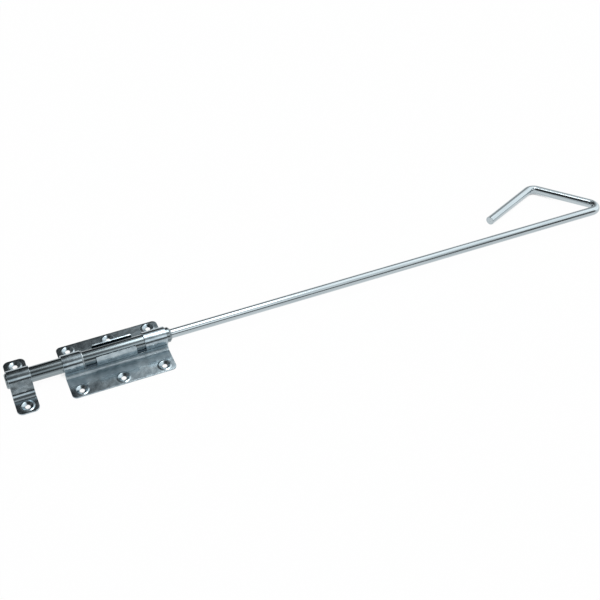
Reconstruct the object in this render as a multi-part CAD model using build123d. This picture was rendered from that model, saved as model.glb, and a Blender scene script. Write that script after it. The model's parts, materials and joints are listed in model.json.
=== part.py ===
from build123d import *
import math
import os

# Bow handle bolt: a long round bolt that runs in a pressed steel housing and shoots into a
# pressed keeper. A thinner rod carries it on to a bent bow, the handle.
# Millimetres and degrees. X runs along the bolt towards the bow, Y across the plate, Z away
# from the door. The origin is the middle of the housing's screws, on the face that meets the door.

# Sheet steel, shared by the housing and the keeper
SHEET = 1.5
BEND_R = 3.2
NECK_W = 16.0
CREASE_R = 0.6
AXIS_Z = 13.0
RUNNING_GAP = 0.3

# Housing plate
PLATE_L = 108.0
PLATE_W = 75.0
PLATE_CORNER_R = 5.0
FRONT_GUIDE_L = 19.8
REAR_GUIDE_L = 23.2
CRADLE_L = 42.0
CRADLE_LEAN = 15.0
CRADLE_LIP_L = 4.1
CRADLE_TIP_R = 1.2
SILL_Z = 8.0
SILL_R = 2.0

# Keeper
KEEPER_L = 22.5
KEEPER_W = 76.0
KEEPER_CORNER_R = 6.0
KEEPER_BEND_R = 8.3
KEEPER_LEAN = 24.0
KEEPER_TO_HOUSING = 32.3

# Countersunk screw holes, each in a low raised collar
SCREW_D = 5.2
SINK_D = 11.6
SINK_LAND = 0.2
SINK_RIM_R = 0.8
COLLAR_D = 14.8
COLLAR_RISE = 0.5
COLLAR_FOOT_R = 1.2
HOLE_TO_END = 11.0
HOLE_TO_SIDE = 8.5
KEEPER_HOLE_TO_SIDE = 9.0

# Bolt
BOLT_D = 16.0
TIP_PROUD = 2.4
TIP_CHAMFER = 1.2
TAIL_PROUD = 6.0
TAIL_CHAMFER = 2.4
SOCKET_DEPTH = 18.0

# Stop ring, a sprung steel ring in a groove of the bolt
RING_D = 18.2
RING_W = 1.2
RING_SEAT_D = 14.8
RING_PLAY = 0.1
RING_SPLIT = 40.0
CRADLE_GAP = 0.4

# Rod and bow
ROD_D = 10.0
BOW_CORNER_X = 593.0
BOW_SIDE_L = 92.0
BOW_RETURN_L = 89.0
BOW_FIRST_TURN = 126.0
BOW_SECOND_TURN = 80.0
BOW_BEND_R = 9.5
ROD_END_CHAMFER = 0.6

# Places that follow from the sizes above
bolt_r = BOLT_D / 2
rod_r = ROD_D / 2
bore_r = bolt_r + RUNNING_GAP
cradle_r = RING_D / 2 + CRADLE_GAP
neck_y = NECK_W / 2
bend_y = neck_y + BEND_R
bend_z = SHEET + BEND_R
crease_y = neck_y + CREASE_R
housing_front = -PLATE_L / 2
housing_rear = PLATE_L / 2
front_stop = housing_front + FRONT_GUIDE_L
rear_stop = housing_rear - REAR_GUIDE_L
keeper_rear = housing_front - KEEPER_TO_HOUSING
keeper_front = keeper_rear - KEEPER_L
keeper_x = (keeper_front + keeper_rear) / 2
hole_pitch = PLATE_L / 2 - HOLE_TO_END
hole_y = PLATE_W / 2 - HOLE_TO_SIDE
keeper_hole_y = KEEPER_W / 2 - KEEPER_HOLE_TO_SIDE
bolt_tip = keeper_front - TIP_PROUD
bolt_tail = housing_rear + TAIL_PROUD
ring_front = front_stop + RING_PLAY
sky_z = AXIS_Z + cradle_r + 4 * SHEET
axis = (0, AXIS_Z)


def at(centre, radius, angle):
    """Point on a circle, the angle in degrees from +Y towards +Z."""
    turn = math.radians(angle)
    return (centre[0] + radius * math.cos(turn), centre[1] + radius * math.sin(turn))


def crease_place(inner_r):
    """Centre of the crease where a round wall of this inner radius turns down into the neck."""
    reach = inner_r + SHEET + CREASE_R
    return (crease_y, AXIS_Z - math.sqrt(reach**2 - crease_y**2))


def crease_angle(inner_r):
    """Angle at which the round wall starts, seen from the bolt's axis."""
    crease = crease_place(inner_r)
    return math.degrees(math.atan2(crease[1] - AXIS_Z, crease[0]))


def foot_side(flange_z, half_width, inner_r):
    """One face of the +Y sheet: flange, bend, upright neck and the crease under the round wall."""
    bend_radius = bend_z - flange_z
    crease_radius = CREASE_R + SHEET - flange_z
    bend = (bend_y, bend_z)
    crease = crease_place(inner_r)
    crease_end = 180 + crease_angle(inner_r)
    foot = (bend_y, flange_z)
    neck_foot = at(bend, bend_radius, 180)
    neck_top = at(crease, crease_radius, 180)
    return [
        Line((half_width, flange_z), foot),
        ThreePointArc(foot, at(bend, bend_radius, 225), neck_foot),
        Line(neck_foot, neck_top),
        ThreePointArc(
            neck_top,
            at(crease, crease_radius, (180 + crease_end) / 2),
            at(crease, crease_radius, crease_end),
        ),
    ]


def bridge_face(half_width):
    """Section of a guide: flanges, necks and a round loop over the bolt in one sheet."""
    start = crease_angle(bore_r)
    edges = []
    for flange_z in (0, SHEET):
        loop_r = bore_r + flange_z
        near = foot_side(flange_z, half_width, bore_r)
        edges += near + [edge.mirror(Plane.YZ) for edge in near]
        edges.append(
            ThreePointArc(at(axis, loop_r, start), at(axis, loop_r, 90), at(axis, loop_r, 180 - start))
        )
    for side in (-half_width, half_width):
        edges.append(Line((side, 0), (side, SHEET)))
    return make_face(edges)


def cradle_face(half_width):
    """Section of one cradle wall: a flange, a neck, and a wall that leans in over the bolt."""
    start = crease_angle(cradle_r)
    lean = math.radians(CRADLE_LEAN)
    lip_run = (-CRADLE_LIP_L * math.sin(lean), CRADLE_LIP_L * math.cos(lean))
    edges = []
    tips = []
    for flange_z in (0, SHEET):
        wall_r = cradle_r + flange_z
        lip = at(axis, wall_r, CRADLE_LEAN)
        tip = (lip[0] + lip_run[0], lip[1] + lip_run[1])
        edges += foot_side(flange_z, half_width, cradle_r)
        edges.append(
            ThreePointArc(at(axis, wall_r, start), at(axis, wall_r, (start + CRADLE_LEAN) / 2), lip)
        )
        edges.append(Line(lip, tip))
        tips.append(tip)
    edges.append(Line(tips[0], tips[1]))
    edges.append(Line((half_width, 0), (half_width, SHEET)))
    return make_face(edges)


def keeper_face(half_width):
    """Section of the keeper: a round top, sloping sides and a wide bend into each foot."""
    lean = math.radians(KEEPER_LEAN)
    bend_z = SHEET + KEEPER_BEND_R
    reach = bore_r + SHEET + KEEPER_BEND_R + (AXIS_Z - bend_z) * math.sin(lean)
    bend = (reach / math.cos(lean), bend_z)
    edges = []
    for flange_z in (0, SHEET):
        top_r = bore_r + flange_z
        bend_radius = bend_z - flange_z
        foot = (bend[0], flange_z)
        side_foot = at(bend, bend_radius, 180 + KEEPER_LEAN)
        side_top = at(axis, top_r, KEEPER_LEAN)
        near = [
            Line((half_width, flange_z), foot),
            ThreePointArc(foot, at(bend, bend_radius, 225 + KEEPER_LEAN / 2), side_foot),
            Line(side_foot, side_top),
        ]
        edges += near + [edge.mirror(Plane.YZ) for edge in near]
        edges.append(ThreePointArc(side_top, at(axis, top_r, 90), at(axis, top_r, 180 - KEEPER_LEAN)))
    for side in (-half_width, half_width):
        edges.append(Line((side, 0), (side, SHEET)))
    return make_face(edges)


def along_x(face, start, length):
    """A YZ section drawn out along the bolt."""
    return extrude(Plane.YZ.offset(start) * face, amount=length)


def flange_outline(centre_x, length, width, corner_r):
    """Block with the flanges' rounded outline, tall enough to hold the whole pressing."""
    outline = Pos(centre_x, 0) * RectangleRounded(length, width, corner_r)
    return extrude(outline, amount=sky_z)


def screw_collar(x, y):
    """Low cone pressed up round a screw hole, carried past the rim so that the hole trims it."""
    foot_r = COLLAR_D / 2
    rim_r = SINK_D / 2
    spare = 0.3
    top_r = rim_r - spare * (foot_r - rim_r)
    rise = COLLAR_RISE * (1 + spare)
    return Pos(x, y, SHEET + rise / 2) * Cone(foot_r, top_r, rise)


def screw_hole(x, y):
    """Clearance hole with a pressed countersink that opens upwards past the collar's rim."""
    screw_r = SCREW_D / 2
    depth = SHEET + COLLAR_RISE - SINK_LAND
    slope = (SINK_D / 2 - screw_r) / depth
    cone = Pos(0, 0, SINK_LAND + depth) * Cone(screw_r, screw_r + 2 * depth * slope, 2 * depth)
    shank = Cylinder(screw_r, 4 * SHEET)
    return Pos(x, y, 0) * (cone + shank)


def with_screw_holes(body, places):
    """Adds the collars, drills the holes, then rounds each collar's rim and foot."""
    for x, y in places:
        body += screw_collar(x, y)
    for x, y in places:
        body -= screw_hole(x, y)
    circles = body.edges().filter_by(GeomType.CIRCLE)
    rim_z = SHEET + COLLAR_RISE
    rims = [
        edge
        for edge in circles
        if abs(edge.radius - SINK_D / 2) < 0.01 and abs(edge.center().Z - rim_z) < 0.01
    ]
    body = fillet(rims, SINK_RIM_R)
    feet = [
        edge
        for edge in body.edges().filter_by(GeomType.CIRCLE)
        if abs(edge.radius - COLLAR_D / 2) < 0.01 and abs(edge.center().Z - SHEET) < 0.01
    ]
    return fillet(feet, COLLAR_FOOT_R)


def window(start, end):
    """Cutter for the side windows: straight sides, a sill with rounded corners, open above."""
    width = end - start
    height = sky_z - SILL_Z
    outline = Pos((start + end) / 2, SILL_Z + height / 2) * Rectangle(width, height)
    lower = outline.vertices().sort_by(Axis.Y)[:2]
    outline = fillet(lower, SILL_R)
    return extrude(Plane.XZ * outline, amount=PLATE_W, both=True)


def make_housing():
    """One pressing: a guide at each end, side windows, and the cradle walls between them."""
    half_w = PLATE_W / 2
    half_cradle = CRADLE_L / 2
    cradle = along_x(cradle_face(half_w), front_stop, rear_stop - front_stop)
    cradle -= window(front_stop, -half_cradle)
    cradle -= window(half_cradle, rear_stop)
    lips = [
        edge
        for edge in cradle.edges().filter_by(GeomType.LINE)
        if edge.length < SHEET * 1.01 and edge.center().Z > AXIS_Z
    ]
    cradle = fillet(lips, CRADLE_TIP_R)
    body = cradle + cradle.mirror(Plane.XZ)
    body += along_x(bridge_face(half_w), housing_front, FRONT_GUIDE_L)
    body += along_x(bridge_face(half_w), rear_stop, REAR_GUIDE_L)
    body &= flange_outline(0, PLATE_L, PLATE_W, PLATE_CORNER_R)
    places = [(column * hole_pitch, row * hole_y) for column in (-1, 0, 1) for row in (-1, 1)]
    return with_screw_holes(body, places)


def make_keeper():
    """A short strap over the bolt, with one screw through each foot."""
    strip = along_x(keeper_face(KEEPER_W / 2), keeper_front, KEEPER_L)
    strip &= flange_outline(keeper_x, KEEPER_L, KEEPER_W, KEEPER_CORNER_R)
    places = [(keeper_x, row * keeper_hole_y) for row in (-1, 1)]
    return with_screw_holes(strip, places)


def make_bolt():
    """Turned bar: chamfered tip, ring groove, chamfered tail with a socket for the rod."""
    seat_r = RING_SEAT_D / 2 - RING_PLAY
    groove_front = ring_front - RING_PLAY
    groove_rear = ring_front + RING_W + RING_PLAY
    socket_end = bolt_tail - SOCKET_DEPTH
    outline = Polyline(
        (bolt_tip, 0),
        (bolt_tip, bolt_r - TIP_CHAMFER),
        (bolt_tip + TIP_CHAMFER, bolt_r),
        (groove_front, bolt_r),
        (groove_front, seat_r),
        (groove_rear, seat_r),
        (groove_rear, bolt_r),
        (bolt_tail - TAIL_CHAMFER, bolt_r),
        (bolt_tail, bolt_r - TAIL_CHAMFER),
        (bolt_tail, rod_r),
        (socket_end, rod_r),
        (socket_end, 0),
        close=True,
    )
    turned = revolve(Plane.XZ * make_face(outline), Axis.X)
    return Pos(0, 0, AXIS_Z) * turned


def make_stop_ring():
    """Split ring that meets the end of either guide and so ends the bolt's travel."""
    outer_r = RING_D / 2
    band = Circle(outer_r) - Circle(RING_SEAT_D / 2)
    half_split = math.radians(RING_SPLIT / 2)
    mouth = make_face(
        Polyline(
            (0, 0),
            (2 * outer_r * math.sin(half_split), -2 * outer_r * math.cos(half_split)),
            (-2 * outer_r * math.sin(half_split), -2 * outer_r * math.cos(half_split)),
            close=True,
        )
    )
    return Pos(0, 0, AXIS_Z) * along_x(band - mouth, ring_front, RING_W)


def bow_path():
    """Centre line of the rod and its bow, flat in XY: the rod, the side and the return."""
    side_turn = math.radians(BOW_FIRST_TURN)
    return_turn = math.radians(BOW_FIRST_TURN + BOW_SECOND_TURN)
    start = (bolt_tail - SOCKET_DEPTH, 0)
    corner = (BOW_CORNER_X, 0)
    far_corner = (
        corner[0] + BOW_SIDE_L * math.cos(side_turn),
        corner[1] + BOW_SIDE_L * math.sin(side_turn),
    )
    end = (
        far_corner[0] + BOW_RETURN_L * math.cos(return_turn),
        far_corner[1] + BOW_RETURN_L * math.sin(return_turn),
    )
    return FilletPolyline(start, corner, far_corner, end, radius=BOW_BEND_R)


def make_bow_rod():
    """Bar bent into the bow, turned down until the bow's far corner lies on the door."""
    path = bow_path()
    bar = sweep(Plane(origin=path @ 0, z_dir=path % 0) * Circle(rod_r), path=path)
    cut_end = bar.faces().filter_by(GeomType.PLANE).sort_by_distance(path @ 1)[0]
    bar = chamfer(cut_end.edges(), ROD_END_CHAMFER)
    reach = path.bounding_box().max.Y
    droop = math.degrees(math.asin((AXIS_Z - rod_r) / reach))
    return Pos(0, 0, AXIS_Z) * Rot(-droop, 0, 0) * bar


parts = {
    "housing": make_housing(),
    "keeper": make_keeper(),
    "bolt": make_bolt(),
    "stop_ring": make_stop_ring(),
    "bow_rod": make_bow_rod(),
}

os.makedirs("parts", exist_ok=True)
for name, part in parts.items():
    export_step(part, f"parts/{name}.step")
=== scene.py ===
import json
import math

import bmesh
import bpy
from mathutils import Matrix, Vector


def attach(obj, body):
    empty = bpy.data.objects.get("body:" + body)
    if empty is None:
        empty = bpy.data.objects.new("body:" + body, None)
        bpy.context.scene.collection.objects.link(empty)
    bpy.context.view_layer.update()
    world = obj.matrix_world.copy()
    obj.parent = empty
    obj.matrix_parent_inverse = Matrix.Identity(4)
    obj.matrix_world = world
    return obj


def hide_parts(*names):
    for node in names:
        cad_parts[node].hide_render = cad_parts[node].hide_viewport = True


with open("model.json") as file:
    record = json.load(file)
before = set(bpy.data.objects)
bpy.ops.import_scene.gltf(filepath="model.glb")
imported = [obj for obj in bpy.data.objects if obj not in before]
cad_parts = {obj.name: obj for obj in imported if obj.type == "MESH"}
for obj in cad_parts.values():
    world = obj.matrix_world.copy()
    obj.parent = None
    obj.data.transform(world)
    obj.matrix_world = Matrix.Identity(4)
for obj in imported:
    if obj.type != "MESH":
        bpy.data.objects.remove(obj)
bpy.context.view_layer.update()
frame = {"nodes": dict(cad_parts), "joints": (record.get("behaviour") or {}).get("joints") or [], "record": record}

# Bow handle bolt, in metres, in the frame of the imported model: X runs along the bolt towards
# the bow, Y across the plate, Z away from the door face.
MM = 0.001
TURN_JOINT = next(joint for joint in frame["joints"] if joint["name"] == "bolt_turn")
AXIS_Z = TURN_JOINT["pos_m"][2]
BODY_OF = {
    node: body for body, nodes in frame["record"]["behaviour"]["bodies"].items() for node in nodes
}

# Bent bar that makes the rod and the bow
BAR_CORNERS = ("Start", "Bow corner", "Far corner", "Bar end")
BAR_D = 10.0 * MM
BAR_START_X = 42.0 * MM
BOW_CORNER_X = 593.0 * MM
BOW_SIDE_L = 92.0 * MM
BOW_RETURN_L = 89.0 * MM
BOW_FIRST_TURN = math.radians(126.0)
BOW_SECOND_TURN = math.radians(80.0)
BOW_BEND_R = 9.5 * MM
BAR_END_CHAMFER = 0.6 * MM
BAR_END_ANGLE = math.radians(60)
BAR_FACETS = 64
BEND_FACETS = 24
BOW_REACH = (
    (BOW_SIDE_L - BOW_BEND_R * math.tan(BOW_SECOND_TURN / 2)) * math.sin(BOW_FIRST_TURN)
    + BOW_BEND_R * (1 + math.cos(BOW_FIRST_TURN))
)
BOW_DROOP = math.asin((AXIS_Z - BAR_D / 2) / BOW_REACH)

# Edge breaks left by the press tool and the lathe
SHEET_EDGE = 0.25 * MM
BAR_EDGE = 0.2 * MM
RING_EDGE = 0.12 * MM
EDGE_FACETS = 2
SHARP_ANGLE = math.radians(28)
WELD_GAP = 0.001 * MM

# Plated sheet: its clouding, its waves, and the marks of the wiping cloth. The marks are finer on the
# real sheet, and are drawn as coarse as they need to show.
SHEET_CLOUD = 8.0 * MM
SHEET_WAVE = 9.0 * MM
SHEET_WAVE_HEIGHT = 0.4 * MM
WIPE_MARK = 1.2 * MM
WIPE_STRETCH = 0.12
WIPE_DULLNESS = 0.14
# Reach of the painted shade that darkens the sheet's creases
CREASE_SHADE_REACH = 2.0 * MM

# Rubbed line along the sheet's edges: its width, and the cosine of the edge's turn away from the face
# where the wear starts and where it is full
EDGE_WEAR = 0.5 * MM
EDGE_WEAR_STARTS = 0.99
EDGE_WEAR_FULL = 0.88

# Roughness of the plated sheet, by the way down it from the bolt's line: loop, bend and flange
NECK_HEIGHT = 8.0 * MM
LOOP_END_RUN = 9.9 * MM
BEND_START_RUN = 11.5 * MM
BEND_END_RUN = 24.0 * MM
FLANGE_START_RUN = 33.0 * MM
SHEET_RUN = 50.0 * MM
LOOP_DULLNESS = 0.08
HOUSING_BEND_DULLNESS = 0.28
HOUSING_FLANGE_DULLNESS = 0.08
KEEPER_BEND_DULLNESS = 0.05
KEEPER_FLANGE_DULLNESS = 0.07

# Drawing lines along the bolt and the rod, drawn coarser than the real ones so that they show, and
# the clouding of the ring
BOLT_STREAK = 2.2 * MM
BOLT_STREAK_STRETCH = 0.03
BOLT_STREAK_HEIGHT = 0.1 * MM
ROD_STREAK = 1.4 * MM
ROD_STREAK_STRETCH = 0.02
RING_CLOUD = 2.0 * MM
RING_DULLNESS = 0.3

# Camera of the photograph, 600 pixels square
FRAME_PX = 600
FOCAL_PX = 1100
SENSOR_MM = 36.0
CAMERA_AZIMUTH = math.radians(23.15)
CAMERA_ELEVATION = math.radians(43.12)
CAMERA_PLACE = Vector((-0.1335, -0.7913, 0.8132))
CAMERA_REACH = 100.0

# White table with a low backdrop, lower on the near side. The contact shadow is darkest at one share
# of open sky and gone at another, and the table stays shaded under the housing.
FLOOR_SIDE = 30.0
FLOOR_Z = -0.2 * MM
BACKDROP_NEAR_RISE = 0.55
BACKDROP_FAR_RISE = 2.0
FLOOR_GLOW = 0.985
CONTACT_REACH = 12.0 * MM
CONTACT_DARK = 0.06
CONTACT_CLEAR = 0.26
SHADE_X = 50.0 * MM
SHADE_Y = 12.0 * MM
SHADE_GLOW = 0.065

# Room that the metal mirrors: bands of light and shade along the bolt's line. Each band has its angle
# round that line, in degrees from the near horizon over the top to the far one, and its brightness.
# ROOM sets the bands out from left to right, by the X part of the direction.
SIDE_BANDS = [
    (0, 0.9), (48, 0.9), (60, 0.05), (92, 0.05), (110, 0.2), (150, 0.12), (180, 0.06),
]
LEFT_BANDS = [
    (0, 0.1), (5, 0.08), (10, 0.06), (24, 0.06), (34, 1.1), (46, 1.0), (56, 0.12), (82, 0.1),
    (92, 0.5), (103, 0.5), (114, 0.06), (180, 0.03),
]
RIGHT_BANDS = [
    (0, 0.9), (5, 0.6), (9, 0.2), (25, 0.2), (34, 1.7), (50, 1.7), (60, 0.5), (66, 0.5), (78, 1.5),
    (118, 1.5), (132, 1.7), (135.5, 0.1), (180, 0.1),
]
BOW_BANDS = [
    (0, 0.7), (5, 0.3), (12, 0.02), (50, 0.02), (58, 1.7), (66, 1.7), (72, 1.2), (78, 1.2), (88, 1.7),
    (118, 1.6), (131, 1.1), (138, 0.6), (180, 0.6),
]
END_BANDS = [(0, 0.9), (20, 0.8), (40, 1.5), (180, 1.3)]
ROOM = [
    (-0.25, SIDE_BANDS), (-0.02, LEFT_BANDS), (0.075, LEFT_BANDS), (0.175, RIGHT_BANDS),
    (0.6, BOW_BANDS), (0.8, END_BANDS),
]
ROOM_CAST = (0.98, 1.0, 1.01)

# Softbox over the rear guide
SOFTBOX_HEIGHT = 1.5
SOFTBOX_LENGTH = 0.4
SOFTBOX_WIDTH = 0.8
SOFTBOX_LEFT_X = 0.195
SOFTBOX_Y = 0.25
SOFTBOX_POWER = 4.5


def linear(hex_colour):
    """An sRGB hex colour as linear RGBA."""
    channels = []
    for start in (0, 2, 4):
        value = int(hex_colour[start:start + 2], 16) / 255
        channels.append(value / 12.92 if value <= 0.04045 else ((value + 0.055) / 1.055) ** 2.4)
    return (*channels, 1.0)


def add_node(tree, kind, inputs=(), stops=(), **settings):
    """A node with its settings. Each input is a value, or a socket to link from; the stops of a
    colour ramp are pairs of position and colour."""
    made = tree.nodes.new(kind)
    for name, value in settings.items():
        setattr(made, name, value)
    for key, value in dict(inputs).items():
        if isinstance(value, bpy.types.NodeSocket):
            tree.links.new(value, made.inputs[key])
        else:
            made.inputs[key].default_value = value
    if stops:
        elements = made.color_ramp.elements
        while len(elements) < len(stops):
            elements.new(1.0)
        for element, (position, colour) in zip(elements, stops):
            element.position = position
            element.color = colour
    return made


def new_material(name):
    """A bare metal: the material, its node tree and its shader."""
    material = bpy.data.materials.new(name)
    material.use_nodes = True
    tree = material.node_tree
    tree.nodes.clear()
    shader = add_node(tree, "ShaderNodeBsdfPrincipled", {"Metallic": 1.0})
    add_node(tree, "ShaderNodeOutputMaterial", {"Surface": shader.outputs["BSDF"]})
    return material, tree, shader


def zinc_sheet(name, flange_dullness, bend_dullness):
    """Bright zinc plate on pressed sheet steel: cool grey and faintly clouded, burnished where the die
    drew it over the bolt, duller in the bend at the foot, with pale rubbed edges and painted shade in the creases."""
    material, tree, shader = new_material(name)
    place = add_node(tree, "ShaderNodeTexCoord").outputs["Object"]
    cloud = add_node(
        tree, "ShaderNodeTexNoise",
        {"Vector": place, "Scale": 1 / SHEET_CLOUD, "Detail": 5.0, "Roughness": 0.65},
    )
    tint = add_node(
        tree, "ShaderNodeValToRGB", {"Fac": cloud.outputs["Fac"]},
        stops=[(0.32, linear("8f9ea6")), (0.68, linear("b9c6cc"))],
    )
    # Painted shade: the base colour darkens in creases and tight corners, where little open sky reaches
    open_sky = add_node(
        tree, "ShaderNodeAmbientOcclusion", {"Distance": CREASE_SHADE_REACH}, samples=8, only_local=True
    )
    crease_shade = add_node(
        tree, "ShaderNodeValToRGB", {"Fac": open_sky.outputs["AO"]},
        stops=[(0.25, linear("3c4448")), (0.6, linear("ffffff"))],
    )
    shaded_tint = add_node(
        tree, "ShaderNodeMix",
        {"Factor": 1.0, "A": tint.outputs["Color"], "B": crease_shade.outputs["Color"]},
        data_type="RGBA", blend_type="MULTIPLY",
    )
    rounded = add_node(tree, "ShaderNodeBevel", {"Radius": EDGE_WEAR}, samples=6)
    facing = add_node(tree, "ShaderNodeNewGeometry").outputs["Normal"]
    turned = add_node(
        tree, "ShaderNodeVectorMath", {0: rounded.outputs["Normal"], 1: facing}, operation="DOT_PRODUCT"
    )
    rubbed = add_node(
        tree, "ShaderNodeMapRange",
        {"Value": turned.outputs["Value"], "From Min": EDGE_WEAR_STARTS, "From Max": EDGE_WEAR_FULL},
    )
    worn = add_node(
        tree, "ShaderNodeMix",
        {"Factor": rubbed.outputs["Result"], "A": shaded_tint.outputs["Result"], "B": linear("c2cacd")},
        data_type="RGBA",
    )
    tree.links.new(worn.outputs["Result"], shader.inputs["Base Color"])

    parts = add_node(tree, "ShaderNodeSeparateXYZ", {"Vector": place}).outputs
    sideways = add_node(tree, "ShaderNodeMath", {0: parts["Y"]}, operation="ABSOLUTE")
    downward = add_node(
        tree, "ShaderNodeMapRange",
        {
            "Value": parts["Z"],
            "From Min": NECK_HEIGHT,
            "From Max": 0.0,
            "To Min": 0.0,
            "To Max": NECK_HEIGHT,
        },
    )
    run = add_node(
        tree, "ShaderNodeMath", {0: sideways.outputs[0], 1: downward.outputs["Result"]}, operation="ADD"
    )
    run_share = add_node(tree, "ShaderNodeMath", {0: run.outputs[0], 1: SHEET_RUN}, operation="DIVIDE")
    levels = [
        (LOOP_END_RUN, LOOP_DULLNESS),
        (BEND_START_RUN, bend_dullness),
        (BEND_END_RUN, bend_dullness),
        (FLANGE_START_RUN, flange_dullness),
    ]
    dull = add_node(
        tree, "ShaderNodeValToRGB", {"Fac": run_share.outputs[0]},
        stops=[(reach / SHEET_RUN, (level, level, level, 1.0)) for reach, level in levels],
    )
    wipe_space = add_node(tree, "ShaderNodeMapping", {"Vector": place, "Scale": (WIPE_STRETCH, 1.0, 1.0)})
    wipe = add_node(
        tree, "ShaderNodeTexNoise",
        {"Vector": wipe_space.outputs["Vector"], "Scale": 1 / WIPE_MARK, "Detail": 3.0},
    )
    gloss = add_node(
        tree, "ShaderNodeMath",
        {0: wipe.outputs["Fac"], 1: WIPE_DULLNESS, 2: dull.outputs["Color"]}, operation="MULTIPLY_ADD",
    )
    tree.links.new(gloss.outputs[0], shader.inputs["Roughness"])

    wave = add_node(tree, "ShaderNodeTexNoise", {"Vector": place, "Scale": 1 / SHEET_WAVE, "Detail": 1.0})
    bump = add_node(
        tree, "ShaderNodeBump",
        {"Height": wave.outputs["Fac"], "Strength": 0.25, "Distance": SHEET_WAVE_HEIGHT},
    )
    tree.links.new(bump.outputs["Normal"], shader.inputs["Normal"])
    return material


def zinc_drawn_bar():
    """Zinc plate on cold drawn bar: darker and duller, with streaks along the drawing direction."""
    material, tree, shader = new_material("zinc_cold_drawn_bar")
    place = add_node(tree, "ShaderNodeTexCoord").outputs["Object"]
    drawn = add_node(tree, "ShaderNodeMapping", {"Vector": place, "Scale": (BOLT_STREAK_STRETCH, 1.0, 1.0)})
    streak = add_node(
        tree, "ShaderNodeTexNoise",
        {"Vector": drawn.outputs["Vector"], "Scale": 1 / BOLT_STREAK, "Detail": 4.0},
    )
    tint = add_node(
        tree, "ShaderNodeValToRGB", {"Fac": streak.outputs["Fac"]},
        stops=[(0.32, linear("606b70")), (0.68, linear("98a3a7"))],
    )
    tree.links.new(tint.outputs["Color"], shader.inputs["Base Color"])
    gloss = add_node(
        tree, "ShaderNodeMapRange",
        {"Value": streak.outputs["Fac"], "From Min": 0.3, "From Max": 0.7, "To Min": 0.1, "To Max": 0.2},
    )
    tree.links.new(gloss.outputs["Result"], shader.inputs["Roughness"])
    bump = add_node(
        tree, "ShaderNodeBump",
        {"Height": streak.outputs["Fac"], "Strength": 0.2, "Distance": BOLT_STREAK_HEIGHT},
    )
    tree.links.new(bump.outputs["Normal"], shader.inputs["Normal"])
    return material


def zinc_bent_rod():
    """Zinc plate on bright drawn rod: pale and bluish, with fine streaks that follow the bends."""
    material, tree, shader = new_material("bright_zinc_drawn_rod")
    along = add_node(tree, "ShaderNodeAttribute", attribute_name="bar_place").outputs["Vector"]
    drawn = add_node(tree, "ShaderNodeMapping", {"Vector": along, "Scale": (ROD_STREAK_STRETCH, 1.0, 1.0)})
    streak = add_node(
        tree, "ShaderNodeTexNoise",
        {"Vector": drawn.outputs["Vector"], "Scale": 1 / ROD_STREAK, "Detail": 3.0},
    )
    tint = add_node(
        tree, "ShaderNodeValToRGB", {"Fac": streak.outputs["Fac"]},
        stops=[(0.3, linear("a5b0b5")), (0.7, linear("c4ced2"))],
    )
    tree.links.new(tint.outputs["Color"], shader.inputs["Base Color"])
    gloss = add_node(
        tree, "ShaderNodeMapRange",
        {"Value": streak.outputs["Fac"], "From Min": 0.3, "From Max": 0.7, "To Min": 0.1, "To Max": 0.18},
    )
    tree.links.new(gloss.outputs["Result"], shader.inputs["Roughness"])
    return material


def spring_steel():
    """Plated spring steel of the stop ring: grey, satin and faintly clouded."""
    material, tree, shader = new_material("plated_spring_steel")
    place = add_node(tree, "ShaderNodeTexCoord").outputs["Object"]
    cloud = add_node(tree, "ShaderNodeTexNoise", {"Vector": place, "Scale": 1 / RING_CLOUD})
    tint = add_node(
        tree, "ShaderNodeValToRGB", {"Fac": cloud.outputs["Fac"]},
        stops=[(0.3, linear("9aa3a7")), (0.7, linear("bcc4c7"))],
    )
    tree.links.new(tint.outputs["Color"], shader.inputs["Base Color"])
    shader.inputs["Roughness"].default_value = RING_DULLNESS
    return material


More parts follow.
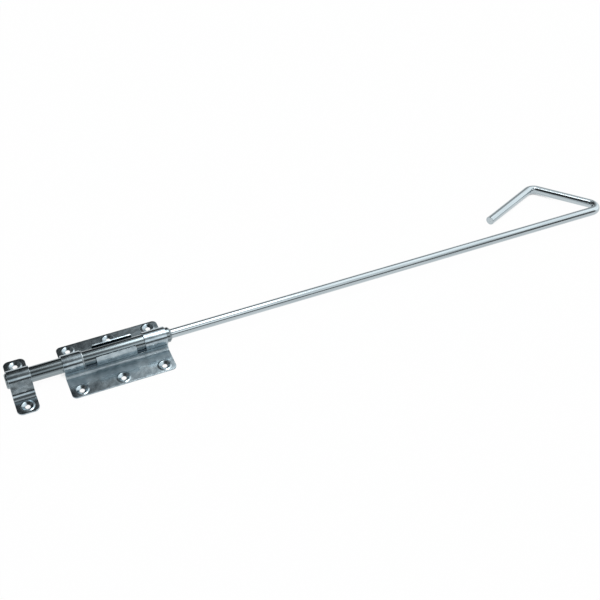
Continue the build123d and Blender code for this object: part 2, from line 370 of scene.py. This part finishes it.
def bent_bar_tree(material):
    """Geometry nodes for a round bar swept along a path of four corners with rounded bends."""
    tree = bpy.data.node_groups.new("bent_bar", "GeometryNodeTree")
    panel = tree.interface
    for name in BAR_CORNERS:
        panel.new_socket(name=name, in_out="INPUT", socket_type="NodeSocketVector")
    for name in ("Bar diameter", "Bend radius"):
        panel.new_socket(name=name, in_out="INPUT", socket_type="NodeSocketFloat")
    for name in ("Facets round", "Facets per bend"):
        panel.new_socket(name=name, in_out="INPUT", socket_type="NodeSocketInt")
    panel.new_socket(name="Bar", in_out="OUTPUT", socket_type="NodeSocketGeometry")
    sizes = add_node(tree, "NodeGroupInput").outputs

    # Path through the corners, with the bends rounded
    corners = add_node(tree, "GeometryNodeMeshLine", {"Count": len(BAR_CORNERS)})
    corner_index = add_node(tree, "GeometryNodeInputIndex").outputs["Index"]
    corner_place = add_node(tree, "GeometryNodeIndexSwitch", data_type="VECTOR")
    while len(corner_place.index_switch_items) < len(BAR_CORNERS):
        corner_place.index_switch_items.new()
    tree.links.new(corner_index, corner_place.inputs["Index"])
    for item, name in enumerate(BAR_CORNERS, start=1):
        tree.links.new(sizes[name], corner_place.inputs[item])
    placed = add_node(
        tree, "GeometryNodeSetPosition",
        {"Geometry": corners.outputs["Mesh"], "Position": corner_place.outputs[0]},
    )
    path = add_node(tree, "GeometryNodeMeshToCurve", {"Mesh": placed.outputs["Geometry"]})
    bends = add_node(
        tree, "GeometryNodeFilletCurve",
        {
            "Curve": path.outputs["Curve"],
            "Count": sizes["Facets per bend"],
            "Radius": sizes["Bend radius"],
        },
        mode="POLY",
    )
    length = add_node(tree, "GeometryNodeSplineParameter").outputs["Length"]
    with_length = add_node(tree, "GeometryNodeCaptureAttribute", {"Geometry": bends.outputs["Curve"]})
    with_length.capture_items.new("FLOAT", "Run")
    tree.links.new(length, with_length.inputs["Run"])

    # Round section of the bar
    radius = add_node(tree, "ShaderNodeMath", {0: sizes["Bar diameter"], 1: 2.0}, operation="DIVIDE")
    section = add_node(
        tree, "GeometryNodeCurvePrimitiveCircle",
        {"Resolution": sizes["Facets round"], "Radius": radius.outputs[0]},
    )
    section_place = add_node(tree, "GeometryNodeInputPosition").outputs["Position"]
    with_place = add_node(tree, "GeometryNodeCaptureAttribute", {"Geometry": section.outputs["Curve"]})
    with_place.capture_items.new("VECTOR", "Place")
    tree.links.new(section_place, with_place.inputs["Place"])

    # Swept bar, which keeps each point's place along and across it for the drawing lines
    bar = add_node(
        tree, "GeometryNodeCurveToMesh",
        {
            "Curve": with_length.outputs["Geometry"],
            "Profile Curve": with_place.outputs["Geometry"],
            "Fill Caps": True,
        },
    )
    across = add_node(tree, "ShaderNodeSeparateXYZ", {"Vector": with_place.outputs["Place"]})
    bar_place = add_node(
        tree, "ShaderNodeCombineXYZ",
        {"X": with_length.outputs["Run"], "Y": across.outputs["X"], "Z": across.outputs["Y"]},
    )
    stored = add_node(
        tree, "GeometryNodeStoreNamedAttribute",
        {"Geometry": bar.outputs["Mesh"], "Name": "bar_place", "Value": bar_place.outputs["Vector"]},
        data_type="FLOAT_VECTOR", domain="POINT",
    )
    smooth = add_node(tree, "GeometryNodeSetShadeSmooth", {"Geometry": stored.outputs["Geometry"]})
    whole = add_node(tree, "GeometryNodeRealizeInstances", {"Geometry": smooth.outputs["Geometry"]})
    finish = add_node(
        tree, "GeometryNodeSetMaterial",
        {"Geometry": whole.outputs["Geometry"], "Material": material},
    )
    add_node(tree, "NodeGroupOutput", {"Bar": finish.outputs["Geometry"]})
    return tree


def bow_corners():
    """The bar's four corner points, with the bow turned down until its far corner meets the door."""
    second_heading = BOW_FIRST_TURN + BOW_SECOND_TURN
    start = Vector((BAR_START_X, 0, 0))
    corner = Vector((BOW_CORNER_X, 0, 0))
    far = corner + BOW_SIDE_L * Vector((math.cos(BOW_FIRST_TURN), math.sin(BOW_FIRST_TURN), 0))
    end = far + BOW_RETURN_L * Vector((math.cos(second_heading), math.sin(second_heading), 0))
    droop = Matrix.Rotation(-BOW_DROOP, 3, "X")
    lift = Vector((0, 0, AXIS_Z))
    return [lift + droop @ place for place in (start, corner, far, end)]


def bow_rod(material):
    """The rod and its bow, one bent bar, standing for the CAD bar."""
    holder = bpy.data.objects.new("bow_rod_path", bpy.data.meshes.new("bow_rod_path"))
    bpy.context.scene.collection.objects.link(holder)
    tree = bent_bar_tree(material)
    bar = holder.modifiers.new("bent_bar", "NODES")
    bar.node_group = tree
    sizes = dict(zip(BAR_CORNERS, bow_corners()))
    sizes["Bar diameter"] = BAR_D
    sizes["Bend radius"] = BOW_BEND_R
    sizes["Facets round"] = BAR_FACETS
    sizes["Facets per bend"] = BEND_FACETS
    for socket in tree.interface.items_tree:
        if socket.in_out == "INPUT":
            bar[socket.identifier] = sizes[socket.name]
    chamfer = holder.modifiers.new("end_chamfer", "BEVEL")
    chamfer.width = BAR_END_CHAMFER
    chamfer.segments = EDGE_FACETS
    chamfer.limit_method = "ANGLE"
    chamfer.angle_limit = BAR_END_ANGLE
    chamfer.harden_normals = True
    return finished_piece(holder, "bow_rod_bar", "bow_rod", material)


def finished_piece(rough, piece_name, node_name, material):
    """Turns a modelled object into a plain mesh that stands for a CAD node."""
    graph = bpy.context.evaluated_depsgraph_get()
    mesh = bpy.data.meshes.new_from_object(rough.evaluated_get(graph))
    bpy.data.objects.remove(rough)
    mesh.name = piece_name
    mesh.materials.clear()
    mesh.materials.append(material)
    piece = bpy.data.objects.new(piece_name, mesh)
    bpy.context.scene.collection.objects.link(piece)
    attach(piece, BODY_OF[node_name])
    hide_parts(node_name)
    return piece


def broken_edges(node_name, piece_name, width, material):
    """A copy of a CAD piece with its sharp edges broken, standing for that piece."""
    mesh = frame["nodes"][node_name].data.copy()
    shape = bmesh.new()
    shape.from_mesh(mesh)
    bmesh.ops.remove_doubles(shape, verts=shape.verts, dist=WELD_GAP)
    for face in shape.faces:
        face.smooth = True
    shape.to_mesh(mesh)
    shape.free()
    rough = bpy.data.objects.new(piece_name + "_rough", mesh)
    bpy.context.scene.collection.objects.link(rough)
    bevel = rough.modifiers.new("edge_break", "BEVEL")
    bevel.width = width
    bevel.segments = EDGE_FACETS
    bevel.limit_method = "ANGLE"
    bevel.angle_limit = SHARP_ANGLE
    bevel.use_clamp_overlap = False
    bevel.harden_normals = True
    normals = rough.modifiers.new("flats_stay_flat", "WEIGHTED_NORMAL")
    normals.keep_sharp = True
    return finished_piece(rough, piece_name, node_name, material)


def add_camera():
    """The photograph's camera: a plain lens, level, looking down across the plate."""
    lens = bpy.data.cameras.new("camera")
    lens.sensor_width = SENSOR_MM
    lens.lens = FOCAL_PX * SENSOR_MM / FRAME_PX
    lens.clip_end = CAMERA_REACH
    camera = bpy.data.objects.new("camera", lens)
    bpy.context.scene.collection.objects.link(camera)
    right = Vector((math.cos(CAMERA_AZIMUTH), -math.sin(CAMERA_AZIMUTH), 0))
    level = Vector((math.sin(CAMERA_AZIMUTH), math.cos(CAMERA_AZIMUTH), 0))
    ahead = level * math.cos(CAMERA_ELEVATION) - Vector((0, 0, math.sin(CAMERA_ELEVATION)))
    up = right.cross(ahead)
    turn = Matrix((right, up, -ahead)).transposed().to_4x4()
    camera.matrix_world = Matrix.Translation(CAMERA_PLACE) @ turn
    bpy.context.scene.camera = camera


def white_table():
    """Plain white board: it glows softly to the eye and to the metal, darkens where the object meets
    it, and stays in cool shade under the housing."""
    material = bpy.data.materials.new("white_table")
    material.use_nodes = True
    tree = material.node_tree
    tree.nodes.clear()
    light_path = add_node(tree, "ShaderNodeLightPath").outputs
    seen_or_mirrored = add_node(
        tree, "ShaderNodeMath",
        {0: light_path["Is Camera Ray"], 1: light_path["Is Glossy Ray"]}, operation="ADD",
    )
    seen = add_node(
        tree, "ShaderNodeMath",
        {0: seen_or_mirrored.outputs[0], 1: light_path["Is Transmission Ray"]}, operation="ADD",
    )
    open_sky = add_node(tree, "ShaderNodeAmbientOcclusion", {"Distance": CONTACT_REACH}, samples=8)
    off_contact = add_node(
        tree, "ShaderNodeMapRange",
        {
            "Value": open_sky.outputs["AO"],
            "From Min": CONTACT_DARK,
            "From Max": CONTACT_CLEAR,
            "To Min": 0.0,
            "To Max": FLOOR_GLOW,
        },
    )
    glow_seen = add_node(
        tree, "ShaderNodeMath", {0: seen.outputs[0], 1: off_contact.outputs["Result"]}, operation="MULTIPLY"
    )
    place = add_node(tree, "ShaderNodeTexCoord").outputs["Object"]
    from_middle = add_node(tree, "ShaderNodeVectorMath", {0: place}, operation="ABSOLUTE")
    spread = add_node(tree, "ShaderNodeSeparateXYZ", {"Vector": from_middle.outputs["Vector"]}).outputs
    past_end = add_node(tree, "ShaderNodeMath", {0: spread["X"], 1: SHADE_X}, operation="GREATER_THAN")
    past_side = add_node(tree, "ShaderNodeMath", {0: spread["Y"], 1: SHADE_Y}, operation="GREATER_THAN")
    clear = add_node(
        tree, "ShaderNodeMath", {0: past_end.outputs[0], 1: past_side.outputs[0]}, operation="MAXIMUM"
    )
    glow_clear = add_node(
        tree, "ShaderNodeMath", {0: glow_seen.outputs[0], 1: clear.outputs[0]}, operation="MULTIPLY"
    )
    share = add_node(tree, "ShaderNodeMath", {0: glow_clear.outputs[0], 1: SHADE_GLOW}, operation="MAXIMUM")
    tone = add_node(
        tree, "ShaderNodeValToRGB", {"Fac": open_sky.outputs["AO"]},
        stops=[(0.15, linear("4b5459")), (0.4, linear("f0f3f5"))],
    )
    matt = add_node(tree, "ShaderNodeBsdfDiffuse", {"Color": tone.outputs["Color"]})
    cast = add_node(
        tree, "ShaderNodeValToRGB", {"Fac": share.outputs[0]},
        stops=[(SHADE_GLOW, linear("b8e2ff")), (0.4, linear("ffffff"))],
    )
    glow = add_node(tree, "ShaderNodeEmission", {"Color": cast.outputs["Color"], "Strength": 1.0})
    mixed = add_node(
        tree, "ShaderNodeMixShader",
        {0: share.outputs[0], 1: matt.outputs["BSDF"], 2: glow.outputs["Emission"]},
    )
    add_node(tree, "ShaderNodeOutputMaterial", {"Surface": mixed.outputs["Shader"]})
    return material


def add_floor():
    """A plain white table with a low backdrop far off. The table keeps the object's shadow."""
    mesh = bpy.data.meshes.new("table")
    half = FLOOR_SIDE / 2
    corners = [(-half, -half), (half, -half), (half, half), (-half, half)]
    rises = [BACKDROP_NEAR_RISE, BACKDROP_NEAR_RISE, BACKDROP_FAR_RISE, BACKDROP_FAR_RISE]
    foot = [(x, y, FLOOR_Z) for x, y in corners]
    top = [(x, y, rise) for (x, y), rise in zip(corners, rises)]
    floor = [(0, 1, 2, 3)]
    backdrop = [(0, 1, 5, 4), (1, 2, 6, 5), (2, 3, 7, 6), (3, 0, 4, 7)]
    mesh.from_pydata(foot + top, [], floor + backdrop)
    mesh.materials.append(white_table())
    table = bpy.data.objects.new("table", mesh)
    bpy.context.scene.collection.objects.link(table)


def add_studio():
    """A room that the metal mirrors, with bands of light and shade along the bolt, and a softbox."""
    world = bpy.data.worlds.new("studio")
    bpy.context.scene.world = world
    world.use_nodes = True
    tree = world.node_tree
    tree.nodes.clear()
    way = add_node(tree, "ShaderNodeTexCoord").outputs["Generated"]
    parts = add_node(tree, "ShaderNodeSeparateXYZ", {"Vector": way}).outputs
    nearward = add_node(tree, "ShaderNodeMath", {0: parts["Y"], 1: -1.0}, operation="MULTIPLY")
    height = add_node(
        tree, "ShaderNodeMath", {0: parts["Z"], 1: nearward.outputs[0]}, operation="ARCTAN2"
    )
    sweep = add_node(tree, "ShaderNodeMath", {0: height.outputs[0], 1: math.pi}, operation="DIVIDE")
    zones = []
    for edge, bands in ROOM:
        stops = [
            (angle / 180, (*(level * part for part in ROOM_CAST), 1.0)) for angle, level in bands
        ]
        zone = add_node(tree, "ShaderNodeValToRGB", {"Fac": sweep.outputs[0]}, stops=stops)
        zones.append((edge, zone.outputs["Color"]))
    room = zones[0][1]
    for (left_edge, _), (right_edge, colour) in zip(zones, zones[1:]):
        side = add_node(
            tree, "ShaderNodeMapRange",
            {"Value": parts["X"], "From Min": left_edge, "From Max": right_edge},
        )
        mixed = add_node(
            tree, "ShaderNodeMix",
            {"Factor": side.outputs["Result"], "A": room, "B": colour}, data_type="RGBA",
        )
        room = mixed.outputs["Result"]
    light = add_node(tree, "ShaderNodeBackground", {"Color": room, "Strength": 1.0})
    add_node(tree, "ShaderNodeOutputWorld", {"Surface": light.outputs["Background"]})

    lamp = bpy.data.lights.new("softbox", "AREA")
    lamp.shape = "RECTANGLE"
    lamp.size = SOFTBOX_LENGTH
    lamp.size_y = SOFTBOX_WIDTH
    lamp.energy = SOFTBOX_POWER
    softbox = bpy.data.objects.new("softbox", lamp)
    softbox.location = (SOFTBOX_LEFT_X + SOFTBOX_LENGTH / 2, SOFTBOX_Y, SOFTBOX_HEIGHT)
    bpy.context.scene.collection.objects.link(softbox)


bpy.context.scene.view_settings.view_transform = "Standard"
add_camera()
add_floor()
add_studio()

housing_sheet = zinc_sheet("bright_zinc_pressed_housing", HOUSING_FLANGE_DULLNESS, HOUSING_BEND_DULLNESS)
keeper_sheet = zinc_sheet("bright_zinc_pressed_keeper", KEEPER_FLANGE_DULLNESS, KEEPER_BEND_DULLNESS)
broken_edges("housing", "housing_pressing", SHEET_EDGE, housing_sheet)
broken_edges("keeper", "keeper_pressing", SHEET_EDGE, keeper_sheet)
broken_edges("bolt", "bolt_bar", BAR_EDGE, zinc_drawn_bar())
broken_edges("stop_ring", "stop_ring_wire", RING_EDGE, spring_steel())
bow_rod(zinc_bent_rod())
